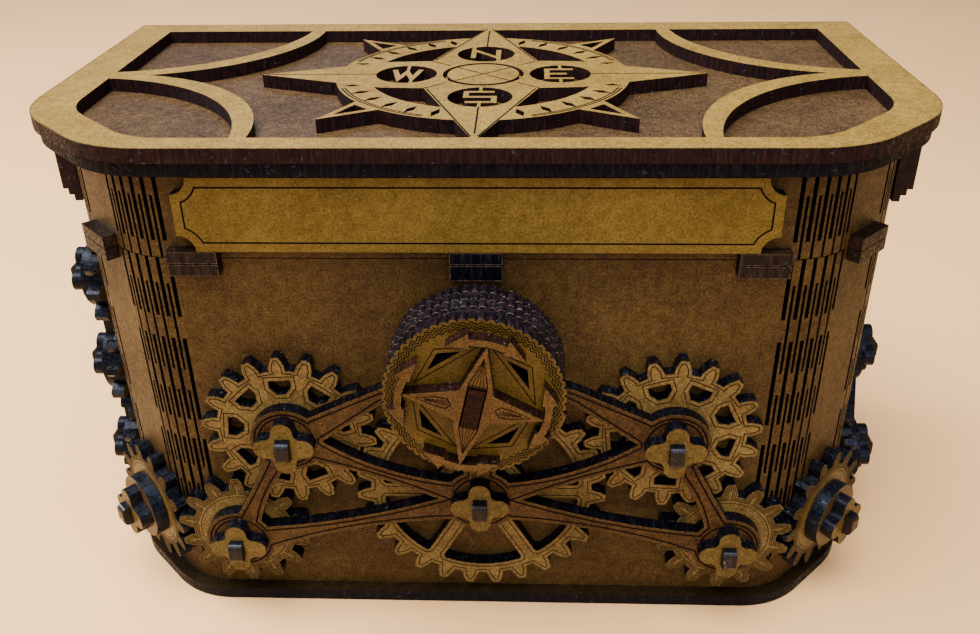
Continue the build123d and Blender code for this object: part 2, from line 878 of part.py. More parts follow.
def round_of_windows(turn):
    """Six-sided windows of the upper gears."""
    with BuildSketch() as windows:
        with PolarLocations(radius=upper_window_place, count=upper_windows, start_angle=turn):
            Polygon(*upper_window_points, align=None)
    return windows.sketch


def gear(name, plane, teeth, play, bore, windows=None):
    """A flat gear on its axle."""
    with BuildPart() as wheel:
        with BuildSketch(plane.offset(gear_back)):
            add(gear_outline(teeth, gear_turns[name], play))
            if windows:
                add(windows, mode=Mode.SUBTRACT)
            Circle(bore / 2, mode=Mode.SUBTRACT)
        extrude(amount=sheet)
    save(wheel, name)


gear_bore = bushing_diameter + 2 * running_fit
gear("centre_gear", front_stations["centre"], centre_teeth, tooth_play, gear_bore, spoked_windows())
for side in ("left", "right"):
    upper_name = "upper_" + side + "_gear"
    windows = round_of_windows(gear_turns[upper_name])
    gear(upper_name, front_stations["upper_" + side], upper_teeth, tooth_play, gear_bore, windows)
    gear("lower_" + side + "_gear", front_stations["lower_" + side], lower_teeth, tooth_play, gear_bore)
    gear(side + "_corner_gear", corner_stations[side], corner_teeth, corner_tooth_play, gear_bore)
for place, plane in side_stations.items():
    teeth = side_low_teeth if place.endswith("low") else side_teeth
    gear(place + "_side_gear", plane, teeth, tooth_play, gear_bore)

# Knob: a shaft keyed to a pinion behind the bridge plate and a stack of discs in front

gear_turns["knob_pinion"] = pinion_turn
gear("knob_pinion", knob_station, pinion_teeth, tooth_play, knob_axle_diameter + 2 * peg_fit)

knob_way = (cos(radians(knob_turn)), 0, sin(radians(knob_turn)))
knob_plane = Plane(origin=knob_station.origin, x_dir=knob_way, z_dir=knob_station.z_dir)
key_hole = (key_width + 2 * peg_fit, key_height + 2 * peg_fit)
retainer_back = -2 * sheet - side_play
retainer_front = retainer_back + sheet
wheel_back = bridge_front + side_play
plain_back = wheel_back + 3 * sheet
face_back = plain_back + knob_plain_sheet
star_back = face_back + sheet
key_end = star_back + sheet + key_stick_out


def toothed_edge(radius):
    """Outline of a disc with fine rounded teeth round its edge."""
    points = []
    for tooth in range(knob_teeth):
        middle = 360 * tooth / knob_teeth
        step = 60 / knob_teeth
        points.append(on_circle(radius - knob_tooth_round, middle - 2 * step))
        points.append(on_circle(radius, middle - step))
        points.append(on_circle(radius, middle + step))
        points.append(on_circle(radius - knob_tooth_round, middle + 2 * step))
        points.append(on_circle(radius - knob_tooth_depth, middle + 3 * step))
    with BuildSketch() as outline:
        with BuildLine():
            Polyline(*points, close=True)
        make_face()
    return outline.sketch


def plain_edge(radius):
    """Outline of a plain disc."""
    with BuildSketch() as outline:
        Circle(radius)
    return outline.sketch


def knob_disc(name, outline, first, thickness, windows=False):
    """One layer of the knob, with the hole for its key."""
    with BuildPart() as disc:
        with BuildSketch(knob_plane.offset(first)):
            add(outline)
            Rectangle(*key_hole, mode=Mode.SUBTRACT)
            if windows:
                with PolarLocations(radius=0, count=4, start_angle=45):
                    Polygon(
                        on_circle(knob_window_end, -knob_window_half_angle),
                        (knob_window_tip, 0),
                        on_circle(knob_window_end, knob_window_half_angle),
                        align=None,
                        mode=Mode.SUBTRACT,
                    )
        extrude(amount=thickness)
    save(disc, name)


knob_radius = knob_diameter / 2
shaft_length = wheel_back - retainer_front
knob_disc("knob_retainer", plain_edge(knob_retainer_diameter / 2), retainer_back, sheet)
knob_disc("knob_shaft", plain_edge(knob_axle_diameter / 2), retainer_front, shaft_length)
knob_disc("knob_rear_disc", toothed_edge(knob_radius), wheel_back, sheet)
knob_disc("knob_second_disc", toothed_edge(knob_radius), wheel_back + sheet, sheet)
knob_disc("knob_third_disc", toothed_edge(knob_radius), wheel_back + 2 * sheet, sheet)
knob_disc("knob_plain_disc", plain_edge(knob_plain_diameter / 2), plain_back, knob_plain_sheet, True)
knob_disc("knob_face_disc", toothed_edge(knob_radius), face_back, sheet, True)

with BuildSketch() as star_outline:
    star_points = []
    for corner in range(4):
        star_points.append(on_circle(star_tip, 90 * corner))
        star_points.append(on_circle(star_valley, 90 * corner + 45))
    Polygon(*star_points, align=None)
    for corner in range(4):
        middle = 90 * corner
        arc_low = on_circle(star_arc_inner, middle - star_arc_half_angle)
        arc_high = on_circle(star_arc_inner, middle + star_arc_half_angle)
        outer_high = on_circle(star_arc_outer, middle + star_arc_half_angle)
        outer_low = on_circle(star_arc_outer, middle - star_arc_half_angle)
        with BuildLine():
            ThreePointArc(arc_low, on_circle(star_arc_inner, middle), arc_high)
            Line(arc_high, outer_high)
            ThreePointArc(outer_high, on_circle(star_arc_outer, middle), outer_low)
            Line(outer_low, arc_low)
        make_face()
        for way in (-1, 1):
            Polygon(
                on_circle(star_fluke_inner, middle + way * star_arc_half_angle),
                on_circle(star_fluke_outer, middle + way * star_arc_half_angle),
                on_circle(star_fluke_tip, middle + way * star_fluke_half_angle),
                align=None,
            )
knob_disc("knob_star", star_outline.sketch, star_back, sheet)

with BuildPart() as knob_key:
    with BuildSketch(knob_plane.offset(retainer_back)):
        Rectangle(key_width, key_height)
    extrude(amount=key_end - retainer_back)
save(knob_key, "knob_key")
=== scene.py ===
import json
import math

import bmesh
import bpy
import numpy as np
from mathutils import Matrix, Vector


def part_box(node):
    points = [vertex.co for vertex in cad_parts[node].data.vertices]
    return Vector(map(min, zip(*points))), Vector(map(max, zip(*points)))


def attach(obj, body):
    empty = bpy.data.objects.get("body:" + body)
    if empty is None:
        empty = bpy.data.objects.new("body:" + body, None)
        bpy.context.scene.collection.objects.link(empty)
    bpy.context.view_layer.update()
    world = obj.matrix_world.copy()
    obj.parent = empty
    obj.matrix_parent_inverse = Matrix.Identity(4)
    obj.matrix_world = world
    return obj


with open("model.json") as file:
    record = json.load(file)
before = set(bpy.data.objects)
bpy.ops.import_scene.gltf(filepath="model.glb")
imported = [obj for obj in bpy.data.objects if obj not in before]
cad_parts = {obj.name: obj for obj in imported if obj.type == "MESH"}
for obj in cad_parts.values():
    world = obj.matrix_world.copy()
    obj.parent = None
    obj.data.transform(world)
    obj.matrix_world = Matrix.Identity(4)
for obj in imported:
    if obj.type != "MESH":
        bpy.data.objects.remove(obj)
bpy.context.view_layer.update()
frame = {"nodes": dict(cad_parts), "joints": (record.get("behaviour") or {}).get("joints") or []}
nodes = frame["nodes"]
mm = 0.001

# Base plate and liner
# Laser-cut 3 mm fibreboard, wiped with dark brown stain. The plate carries the whole box.
# The liner is glued on it and locates the walls. Cut edges are charred to a gloss.


def linear(code, alpha=1.0):
    """Linear colour from an sRGB hex value."""
    parts = [int(code[i : i + 2], 16) / 255 for i in (1, 3, 5)]
    return tuple(c / 12.92 if c <= 0.04045 else ((c + 0.055) / 1.055) ** 2.4 for c in parts) + (alpha,)


def add_node(tree, kind, inputs=None, **settings):
    """Add a node; each input is a value, or the socket that feeds it."""
    node = tree.nodes.new("ShaderNode" + kind)
    for key, value in settings.items():
        setattr(node, key, value)
    for key, value in (inputs or {}).items():
        if isinstance(value, bpy.types.NodeSocket):
            tree.links.new(value, node.inputs[key])
        else:
            node.inputs[key].default_value = value
    return node


def color_stops(node, stops):
    """Give a colour ramp its stops, as (place, hex colour)."""
    ramp = node.color_ramp
    while len(ramp.elements) < len(stops):
        ramp.elements.new(0.5)
    for element, (place, code) in zip(ramp.elements, stops):
        element.position = place
        element.color = linear(code)


def flat_faces(tree, place, way):
    """1 on both faces of a flat sheet with the normal way (mirrored for x below 0), 0 on its cut edges."""
    spot = add_node(tree, "SeparateXYZ", {0: place.outputs["Object"]})
    turned = add_node(tree, "SeparateXYZ", {0: place.outputs["Normal"]})
    side = add_node(tree, "Math", {0: spot.outputs[0]}, operation="SIGN")
    across = add_node(tree, "Math", {0: turned.outputs[0], 1: side.outputs[0]}, operation="MULTIPLY")
    parts = {0: across.outputs[0], 1: turned.outputs[1], 2: turned.outputs[2]}
    facing = add_node(tree, "CombineXYZ", parts)
    along = add_node(tree, "VectorMath", {0: facing.outputs[0], 1: way}, operation="DOT_PRODUCT")
    size = add_node(tree, "Math", {0: along.outputs["Value"]}, operation="ABSOLUTE")
    return add_node(tree, "Math", {0: size.outputs[0], 1: face_limit}, operation="GREATER_THAN").outputs[0]


def bent_faces(tree, place):
    """1 on the faces of the bent wall, 0 on its top and bottom edges and in the slits of its bends."""
    spot = add_node(tree, "SeparateXYZ", {0: place.outputs["Object"]})
    turned = add_node(tree, "SeparateXYZ", {0: place.outputs["Normal"]})
    upright = add_node(tree, "Math", {0: turned.outputs[2]}, operation="ABSOLUTE")
    face = add_node(tree, "Math", {0: upright.outputs[0], 1: level_limit}, operation="LESS_THAN")
    mirrored = add_node(tree, "Math", {0: spot.outputs[0]}, operation="ABSOLUTE")
    plan = add_node(tree, "CombineXYZ", {0: mirrored.outputs[0], 1: spot.outputs[1]})
    for x, y, middle in wall_bends:
        reach = add_node(tree, "VectorMath", {0: plan.outputs[0], 1: (x, y, 0)}, operation="SUBTRACT")
        length = add_node(tree, "VectorMath", {0: reach.outputs[0]}, operation="LENGTH")
        unit = add_node(tree, "VectorMath", {0: reach.outputs[0]}, operation="NORMALIZE")
        mid_way = (math.cos(math.radians(middle)), math.sin(math.radians(middle)), 0)
        turn = add_node(tree, "VectorMath", {0: unit.outputs[0], 1: mid_way}, operation="DOT_PRODUCT")
        within = add_node(tree, "Math", {0: turn.outputs["Value"], 1: bend_limit}, operation="GREATER_THAN")
        under = add_node(tree, "Math", {0: length.outputs["Value"], 1: slit_end}, operation="LESS_THAN")
        over = add_node(tree, "Math", {0: length.outputs["Value"], 1: slit_start}, operation="GREATER_THAN")
        deep = add_node(tree, "Math", {0: under.outputs[0], 1: over.outputs[0]}, operation="MULTIPLY")
        slit = add_node(tree, "Math", {0: deep.outputs[0], 1: within.outputs[0]}, operation="MULTIPLY")
        clear = add_node(tree, "Math", {0: 1.0, 1: slit.outputs[0]}, operation="SUBTRACT")
        face = add_node(tree, "Math", {0: face.outputs[0], 1: clear.outputs[0]}, operation="MULTIPLY")
    return face.outputs[0]


# Limits as cosines: how far a face may lean from its normal, when a wall's edge counts as level,
# and half of a bend
face_limit, level_limit, bend_limit = 0.85, 0.7, 0.924
# Bends of the walls, for x above 0: centre of each bend and the plan angle of its middle
wall_bends = ((0.06227, -0.0268, -67.5), (0.0709, -0.01817, -22.5))
# The walls of the slits lie between these distances from the centre of their bend
slit_start, slit_end = 0.01475, 0.01766
# Real fibres are finer: they are drawn as coarse as they need to show.
# They gather in clumps, the stain lies on them in clouds, and specks of bare fibre stay pale
fibre_size, clump_size, cloud_size, speck_size = 0.5 * mm, 1.8 * mm, 16 * mm, 0.7 * mm
fibre_share, clump_share, cloud_share = 0.55, 0.27, 0.18
bare_brightness, bare_cover = 1.9, 0.5
# Spans of the noise in which bare fibre, and the clusters and grains of the painted glints, come up
bare_span, cluster_span, grain_span = {1: 0.7, 2: 0.8}, {1: 0.57, 2: 0.66}, {1: 0.58, 2: 0.68}
# Places of the dark, middle and light tone in the mottle of a face and in the streaks of a cut
face_tones, char_tones = (0.38, 0.5, 0.63), (0.38, 0.55, 0.72)
# Striations that the laser leaves across the sheet, and how much of the sheet's depth they run through
streak_size, streak_run = 0.6 * mm, 0.85
# Roughness swings by this much over a face; on a cut, from dull char down to set resin
face_swing, char_dull, resin_gloss = 0.12, 0.25, 0.1
bump_depth, char_ripple = 0.25 * mm, 0.2
# Painted highlight: the first colour is painted into the cuts as blue-white glints; the second tints their
# reflections
glint_color, sky_tint = "#77869E", "#C4D6FF"


def stained_board(name, way, face, char, gloss=(0.5, 0.25), shine=0.12):
    """Stained fibreboard: three tones of its faces and of its charred cuts, their roughness and its shine."""
    material = bpy.data.materials.new(name)
    material.use_nodes = True
    tree = material.node_tree
    tree.nodes.clear()
    place = add_node(tree, "TexCoord")
    spot = place.outputs["Object"]
    if way == "bent":
        on_face = bent_faces(tree, place)
    else:
        on_face = flat_faces(tree, place, way)
    grain = {"Vector": spot, "Scale": 1 / fibre_size, "Detail": 2.0, "Roughness": 0.7}
    fibre = add_node(tree, "TexNoise", grain)
    grain = {"Vector": spot, "Scale": 1 / clump_size, "Detail": 3.0, "Roughness": 0.6}
    clump = add_node(tree, "TexNoise", grain)
    cloud = add_node(tree, "TexNoise", {"Vector": spot, "Scale": 1 / cloud_size, "Detail": 2.0})
    fine = add_node(tree, "Math", {0: fibre.outputs[0], 1: fibre_share}, operation="MULTIPLY")
    blend = {0: clump.outputs[0], 1: clump_share, 2: fine.outputs[0]}
    medium = add_node(tree, "Math", blend, operation="MULTIPLY_ADD")
    blend = {0: cloud.outputs[0], 1: cloud_share, 2: medium.outputs[0]}
    mottle = add_node(tree, "Math", blend, operation="MULTIPLY_ADD")
    stain = add_node(tree, "ValToRGB", {0: mottle.outputs[0]})
    color_stops(stain, tuple(zip(face_tones, face)))
    speck = add_node(tree, "TexNoise", {"Vector": spot, "Scale": 1 / speck_size, "Detail": 1.0})
    bare = add_node(tree, "MapRange", {0: speck.outputs[0], **bare_span, 3: 0.0, 4: bare_cover})
    pale = tuple(min(1.0, bare_brightness * part) for part in linear(face[2]))
    board = add_node(tree, "Mix", {0: bare.outputs[0], 6: stain.outputs[0], 7: pale}, data_type="RGBA")
    # The char of a flat sheet is streaked along its normal, on both sides of the box alike
    cut = spot
    if way != "bent":
        parts = add_node(tree, "SeparateXYZ", {0: spot})
        positive = add_node(tree, "Math", {0: parts.outputs[0]}, operation="ABSOLUTE")
        parts = {0: positive.outputs[0], 1: parts.outputs[1], 2: parts.outputs[2]}
        mirrored = add_node(tree, "CombineXYZ", parts).outputs[0]
        deep = add_node(tree, "VectorMath", {0: mirrored, 1: way}, operation="DOT_PRODUCT")
        most = add_node(tree, "Math", {0: deep.outputs["Value"], 1: streak_run}, operation="MULTIPLY")
        along = add_node(tree, "VectorMath", {0: way, "Scale": most.outputs[0]}, operation="SCALE")
        across = add_node(tree, "VectorMath", {0: mirrored, 1: along.outputs[0]}, operation="SUBTRACT")
        cut = across.outputs[0]
    grain = {"Vector": cut, "Scale": 1 / streak_size, "Detail": 3.0, "Roughness": 0.6}
    streak = add_node(tree, "TexNoise", grain)
    burnt = add_node(tree, "ValToRGB", {0: streak.outputs[0]})
    color_stops(burnt, tuple(zip(char_tones, char)))
    # Painted highlight: the cuts get a few clusters of blue-white glints painted into their colour, stronger
    # with more shine
    cluster = add_node(tree, "MapRange", {0: clump.outputs[0], **cluster_span, 3: 0.0, 4: 1.0})
    grains = add_node(tree, "MapRange", {0: speck.outputs[0], **grain_span, 3: 0.0, 4: 1.2 * shine})
    painted_glint = add_node(tree, "Math", {0: cluster.outputs[0], 1: grains.outputs[0]}, operation="MULTIPLY")
    blend = {0: painted_glint.outputs[0], 6: burnt.outputs[0], 7: linear(glint_color)}
    edge = add_node(tree, "Mix", blend, data_type="RGBA")
    color = add_node(tree, "Mix", {0: on_face, 6: edge.outputs[2], 7: board.outputs[2]}, data_type="RGBA")
    span = {0: mottle.outputs[0], 1: 0.3, 2: 0.7, 3: gloss[0] + face_swing, 4: gloss[0] - face_swing}
    face_rough = add_node(tree, "MapRange", span)
    # The char is dull, with spots under a millimetre where resin has set to a gloss
    span = {0: speck.outputs[0], 1: 0.4, 2: 0.7, 3: gloss[1] + char_dull, 4: gloss[1] - resin_gloss}
    edge_rough = add_node(tree, "MapRange", span)
    blend = {0: on_face, 2: edge_rough.outputs[0], 3: face_rough.outputs[0]}
    rough = add_node(tree, "Mix", blend, data_type="FLOAT")
    ripple = add_node(tree, "Math", {0: streak.outputs[0], 1: char_ripple}, operation="MULTIPLY")
    blend = {0: on_face, 2: ripple.outputs[0], 3: mottle.outputs[0]}
    height = add_node(tree, "Mix", blend, data_type="FLOAT")
    bump = add_node(tree, "Bump", {"Strength": 0.35, "Distance": bump_depth, "Height": height.outputs[0]})
    shader = add_node(
        tree,
        "BsdfPrincipled",
        {
            "Base Color": color.outputs[2],
            "Roughness": rough.outputs[0],
            "Normal": bump.outputs[0],
            "Specular IOR Level": shine,
            "Specular Tint": linear(sky_tint),
        },
    )
    add_node(tree, "OutputMaterial", {0: shader.outputs[0]})
    return material


def dress(material, *names):
    """Give CAD nodes their finish."""
    for name in names:
        mesh = nodes[name].data
        mesh.materials.clear()
        mesh.materials.append(material)


x_way = (1, 0, 0)
y_way = (0, 1, 0)
z_way = (0, 0, 1)
corner_way = (math.sqrt(0.5), -math.sqrt(0.5), 0)
black_char = ("#020205", "#06060A", "#15151C")
plum_char = ("#0C0505", "#190B09", "#26130E")
brown_faces = ("#221608", "#36270F", "#48391B")
base_faces = ("#0F0A04", "#1C1407", "#2A2214")
# Almost black wiped stain: the plate reads as one dark foot, with a dull sheen on its bare corners
base_stain = stained_board("dark_stained_fibreboard_base", z_way, base_faces, black_char, (0.42, 0.4), 0.1)
dress(base_stain, "base_plate", "base_liner")

# Walls of the box
# One sheet of fibreboard bent round the front corners, where staggered slits make it supple.
# It is stained dark walnut brown and rubbed, so the fibres show lighter.

# Wiped walnut stain over coarse fibres: a mottled warm brown that hardly shines
wall_stain = stained_board("walnut_stained_fibreboard_wall", "bent", brown_faces, black_char)
back_stain = stained_board("walnut_stained_fibreboard_back", y_way, brown_faces, black_char)
dress(wall_stain, "body_wrap", "lid_wrap")
dress(back_stain, "back_panel", "lid_back")

# Rims and magnets
# Rings of 3 mm fibreboard, glued inside both walls, stiffen them at the seam.
# A nickel-plated disc magnet sits in a pocket of each ring at the front and keeps the lid shut.

dress(base_stain, "body_rim", "lid_rim", "lid_former")


def plain_metal(name, color, gloss, grain):
    """Plated metal: darker and lighter colour, roughness, and the width in mm of its fine scratches."""
    material = bpy.data.materials.new(name)
    material.use_nodes = True
    tree = material.node_tree
    tree.nodes.clear()
    place = add_node(tree, "TexCoord")
    stretched = add_node(tree, "Mapping", {0: place.outputs["Object"], 3: (1, 1, 0.08)})
    marks = {"Vector": stretched.outputs[0], "Scale": 1 / (grain * mm), "Detail": 3.0}
    scratch = add_node(tree, "TexNoise", marks)
    tint = add_node(tree, "ValToRGB", {0: scratch.outputs[0]})
    color_stops(tint, ((0.35, color[0]), (0.65, color[1])))
    span = {0: scratch.outputs[0], 1: 0.3, 2: 0.7, 3: gloss - 0.08, 4: gloss + 0.12}
    rough = add_node(tree, "MapRange", span)
    bump = add_node(tree, "Bump", {"Strength": 0.2, "Distance": 0.05 * mm, "Height": scratch.outputs[0]})
    finish = {"Base Color": tint.outputs[0], "Metallic": 1.0, "Roughness": rough.outputs[0]}
    finish["Normal"] = bump.outputs[0]
    shader = add_node(tree, "BsdfPrincipled", finish)
    add_node(tree, "OutputMaterial", {0: shader.outputs[0]})
    return material


# Nickel plate: a smooth cool grey mirror, a little blurred
nickel = plain_metal("nickel_plate_magnet", ("#8E8C88", "#C9C6C0"), 0.22, 0.6)
dress(nickel, "body_magnet", "lid_magnet")

# Hinges at the back
# Leaves pressed from brass-plated steel, with knuckles rolled round a pin.
# Each leaf is fixed to the back by two slotted screws with domed heads.

# Pressed and plated: a soft yellow gleam, dulled by handling
hinge_brass = plain_metal("brass_plated_hinge", ("#77603A", "#97804F"), 0.34, 0.12)
dress(hinge_brass, "body_hinge_leaves", "lid_hinge_leaves", "hinge_pins")


def screw_heads(name, places, body):
    """Domed heads with a slot, on the back face of the hinges."""
    radius, rise = 1.3 * mm, 0.7 * mm
    slot_half, slot_deep, slot_rim = 0.18 * mm, 0.35 * mm, 0.2 * mm
    mesh = bmesh.new()
    rings, around = 5, 24
    turns = [2 * math.pi * i / around for i in range(around)]
    for x, y, z in places:
        previous = None
        for ring in range(rings):
            angle = math.radians(90 * ring / (rings - 1))
            out = radius * math.cos(angle)
            lift = rise * math.sin(angle)
            if ring == rings - 1:
                top = mesh.verts.new((x, y + lift, z))
                for i in range(around):
                    mesh.faces.new((previous[i], top, previous[(i + 1) % around]))
                continue
            row = [mesh.verts.new((x + out * math.cos(t), y + lift, z + out * math.sin(t))) for t in turns]
            if previous:
                for i in range(around):
                    j = (i + 1) % around
                    mesh.faces.new((previous[i], row[i], row[j], previous[j]))
            previous = row
    # The slot: middle vertices are pressed in
    for vert in mesh.verts:
        for x, y, z in places:
            in_slot = abs(vert.co.x - x) < radius and abs(vert.co.z - z) < slot_half
            if in_slot and vert.co.y > y + slot_rim:
                vert.co.y -= slot_deep
    bmesh.ops.recalc_face_normals(mesh, faces=mesh.faces)
    data = bpy.data.meshes.new(name)
    mesh.to_mesh(data)
    data.materials.append(hinge_brass)
    heads = bpy.data.objects.new(name, data)
    bpy.context.scene.collection.objects.link(heads)
    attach(heads, body)


box_back, leaf_thickness = 0.0445, 0.001
hinge_axis, screw_drop = 92.0 * mm, 6.0 * mm
hinge_place, screw_spread = 0.05, 0.0058
screw_rows = [x + dx for x in (-hinge_place, hinge_place) for dx in (-screw_spread, screw_spread)]
for name, body, way in (("body_hinge_screws", "box", -1), ("lid_hinge_screws", "lid", 1)):
    height = hinge_axis + way * screw_drop
    screw_heads(name, [(x, box_back + leaf_thickness, height) for x in screw_rows], body)

# Lid panel
# The recessed board of the lid, laser-cut from 3 mm fibreboard and glued on top of the lid's walls.
# It is stained mauve brown, with pale fibres standing out.

mauve_faces = ("#20150D", "#352818", "#4C3C27")
panel_char = ("#050407", "#0B0A0D", "#17151A")
# Thin mauve stain, dry to the eye, since it lies deep and out of the light
panel_name = "mauve_stained_fibreboard_panel"
panel_stain = stained_board(panel_name, z_way, mauve_faces, panel_char, (0.5, 0.5), 0.06)
dress(panel_stain, "lid_panel")

# Fretwork of the lid
# The outer sheet of the lid, cut through to a frame with two curved arms at each side, glued on the panel.
# It is stained pale tan; its cut sides are charred plum brown.

# Tan stain, hardly darker than raw board: the brightest face of the box, matt
tan_faces = ("#4C3A14", "#645122", "#796432")
tan_stain = stained_board("tan_stained_fibreboard_lid", z_way, tan_faces, plum_char, (0.5, 0.5), 0.08)
dress(tan_stain, "lid_fret", "compass_rose")

# Compass rose
# Cut from the same sheet as the fretwork, glued on the panel between the front and back bars.
# Its facets are drawn with a fine burnt line.


def line_finish(name, tones):
    """Finish of a line on the board, for burnt lines and for pale painted highlights: matt, and uneven
    between two tones.
    """
    material = bpy.data.materials.new(name)
    material.use_nodes = True
    tree = material.node_tree
    tree.nodes.clear()
    place = add_node(tree, "TexCoord")
    spots = {"Vector": place.outputs["Object"], "Scale": 1 / (0.7 * mm), "Detail": 3.0}
    patch = add_node(tree, "TexNoise", spots)
    tint = add_node(tree, "ValToRGB", {0: patch.outputs[0]})
    color_stops(tint, ((0.35, tones[0]), (0.65, tones[1])))
    bump = add_node(tree, "Bump", {"Strength": 0.3, "Distance": 0.1 * mm, "Height": patch.outputs[0]})
    finish = {"Base Color": tint.outputs[0], "Roughness": 0.7, "Specular IOR Level": 0.05}
    finish["Normal"] = bump.outputs[0]
    shader = add_node(tree, "BsdfPrincipled", finish)
    add_node(tree, "OutputMaterial", {0: shader.outputs[0]})
    return material


# Burnt deep by the laser: black and dull; it also paints the shade round the key
dark_line = line_finish("burnt_line_dark", ("#020101", "#080303"))
# Painted highlight: pale lines, uneven in patches, just inside the edges of faces, where the edges catch the
# light
edge_highlight_line = line_finish("painted_highlight_pale_edge", ("#241A0C", "#5E4D2C"))
# The lines lie this far above the face, so that they are not lost in it
line_lift = 0.04 * mm
left_way, right_way, front_way = (-1, 0, 0), (1, 0, 0), (0, -1, 0)
# Points of an outline are told apart at this many to the metre; a face is flush within this depth
point_steps, flush = 1e6, 0.05 * mm


def plane_axes(way):
    """Horizontal and upward axes of a face whose outward normal is way."""
    way = Vector(way).normalized()
    if abs(way.z) > 0.5:
        across = Vector((1, 0, 0))
    else:
        across = Vector((0, 0, 1)).cross(way)
    return across, way.cross(across), way


def front_loops(node, way):
    """Outline loops of a node's outermost face towards way, with the board on their left, and its depth."""
    across, up, out = plane_axes(way)
    mesh = nodes[node].data
    faces = [p for p in mesh.polygons if p.normal.dot(out) > 0.999]
    depth = max(mesh.vertices[p.vertices[0]].co.dot(out) for p in faces)
    spots = {}
    sides = set()
    for face in faces:
        if mesh.vertices[face.vertices[0]].co.dot(out) < depth - flush:
            continue
        keys = []
        for index in face.vertices:
            co = mesh.vertices[index].co
            spot = (co.dot(across), co.dot(up))
            key = (round(spot[0] * point_steps), round(spot[1] * point_steps))
            spots[key] = spot
            keys.append(key)
        for start, end in zip(keys, keys[1:] + keys[:1]):
            if (end, start) in sides:
                sides.remove((end, start))
            else:
                sides.add((start, end))
    following = {}
    for start, end in sorted(sides):
        following.setdefault(start, []).append(end)
    loops = []
    while following:
        first = min(following)
        key = first
        loop = []
        while key in following:
            loop.append(spots[key])
            ends = following[key]
            step = ends.pop()
            if not ends:
                del following[key]
            key = step
        loops.append(np.array(loop))
    return loops, depth


# A line is drawn in short steps, mitred up to a limit, kept at nearly its full distance and broken at a jump
line_step, sharpest, nearly_full, jump, block = 0.00015, 0.03, 0.985, 0.0012, 2000


def inner_lines(loops, distance, drawn=None):
    """Lines at one distance inside the outline or its drawn loops, left out where the board is too narrow."""
    starts = np.concatenate(loops)
    ends = np.concatenate([np.roll(loop, -1, axis=0) for loop in loops])
    spans = ends - starts
    squared = np.maximum((spans**2).sum(axis=1), 1e-18)
    lines = []
    for loop in loops if drawn is None else drawn:
        along = np.roll(loop, -1, axis=0) - loop
        along /= np.maximum(np.linalg.norm(along, axis=1), 1e-9)[:, None]
        normal = np.stack((-along[:, 1], along[:, 0]), axis=1)
        before = np.roll(normal, 1, axis=0)
        spread = np.maximum(1 + (normal * before).sum(axis=1), sharpest)
        corner = loop + distance * (normal + before) / spread[:, None]
        points = []
        for p, q in zip(corner, np.roll(corner, -1, axis=0)):
            count = max(1, int(np.linalg.norm(q - p) / line_step))
            points += [p + (q - p) * k / count for k in range(count)]
        points = np.array(points)
        gaps = np.empty(len(points))
        for first in range(0, len(points), block):
            part = points[first : first + block, None, :] - starts[None, :, :]
            share = np.clip((part * spans).sum(axis=2) / squared, 0, 1)
            reach = np.linalg.norm(part - share[:, :, None] * spans, axis=2)
            gaps[first : first + block] = reach.min(axis=1)
        kept = gaps > distance * nearly_full - 1e-6
        if kept.all():
            lines.append((points, True))
            continue
        if not kept.any():
            continue
        turn = int(np.argmin(kept))
        points, kept = np.roll(points, -turn, axis=0), np.roll(kept, -turn)
        runs = []
        run = []
        for point, keep in zip(points, kept):
            if keep:
                if run and np.linalg.norm(point - run[-1]) > jump:
                    runs.append(run)
                    run = []
                run.append(point)
        if run:
            runs.append(run)
        closed = len(runs) == 1 and np.linalg.norm(runs[0][0] - runs[0][-1]) < jump
        lines += [(np.array(r), closed) for r in runs if len(r) > 3]
    return lines


widest_mitre, straight = 0.35, 0.002


def lay_ribbons(name, lines, way, depth, body, material=dark_line, width=0.3 * mm):
    """Lines on a face, burnt ones and painted highlights and shade: flat ribbons just above it. A line is
    (points, closed).
    """
    across, up, out = plane_axes(way)
    mesh = bmesh.new()
    for points, closed in lines:
        points = np.array(points, dtype=float)
        ahead = np.roll(points, -1, axis=0) - points
        behind = points - np.roll(points, 1, axis=0)
        if not closed:
            ahead[-1] = behind[-1]
            behind[0] = ahead[0]
        ahead /= np.maximum(np.linalg.norm(ahead, axis=1), 1e-9)[:, None]
        behind /= np.maximum(np.linalg.norm(behind, axis=1), 1e-9)[:, None]
        normal = np.stack((-ahead[:, 1] - behind[:, 1], ahead[:, 0] + behind[:, 0]), axis=1)
        spread = np.maximum(1 + (ahead * behind).sum(axis=1), widest_mitre)
        reach = normal / spread[:, None] * width / 2
        rows = []
        for point, offset in zip(points, reach):
            pair = []
            for u, v in (point - offset, point + offset):
                pair.append(mesh.verts.new(across * u + up * v + out * (depth + line_lift)))
            rows.append(pair)
        for first, second in zip(rows, rows[1:] + rows[:1] if closed else rows[1:]):
            mesh.faces.new((first[0], second[0], second[1], first[1]))
    bmesh.ops.dissolve_limit(mesh, angle_limit=straight, verts=mesh.verts, edges=mesh.edges)
    data = bpy.data.meshes.new(name)
    mesh.to_mesh(data)
    data.materials.append(material)
    ribbon = bpy.data.objects.new(name, data)
    bpy.context.scene.collection.objects.link(ribbon)
    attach(ribbon, body)


def draw_edge_highlights(name, loops, way, depth, body, drawn=None, material=edge_highlight_line, inset=0.1, width=0.14):
    """Painted highlight just inside the edges of a face; inset and width of the pale line in mm."""
    lines = inner_lines(loops, inset * mm, drawn)
    lay_ribbons(name, lines, way, depth, body, material, width * mm)


def ring_line(x, y, radius, start=0, end=360, count=72):
    """Arc of a circle, as a line to engrave."""
    whole = end - start == 360
    steps = count if whole else count + 1
    turns = [math.radians(start + (end - start) * k / count) for k in range(steps)]
    return [(x + radius * math.cos(t), y + radius * math.sin(t)) for t in turns], whole


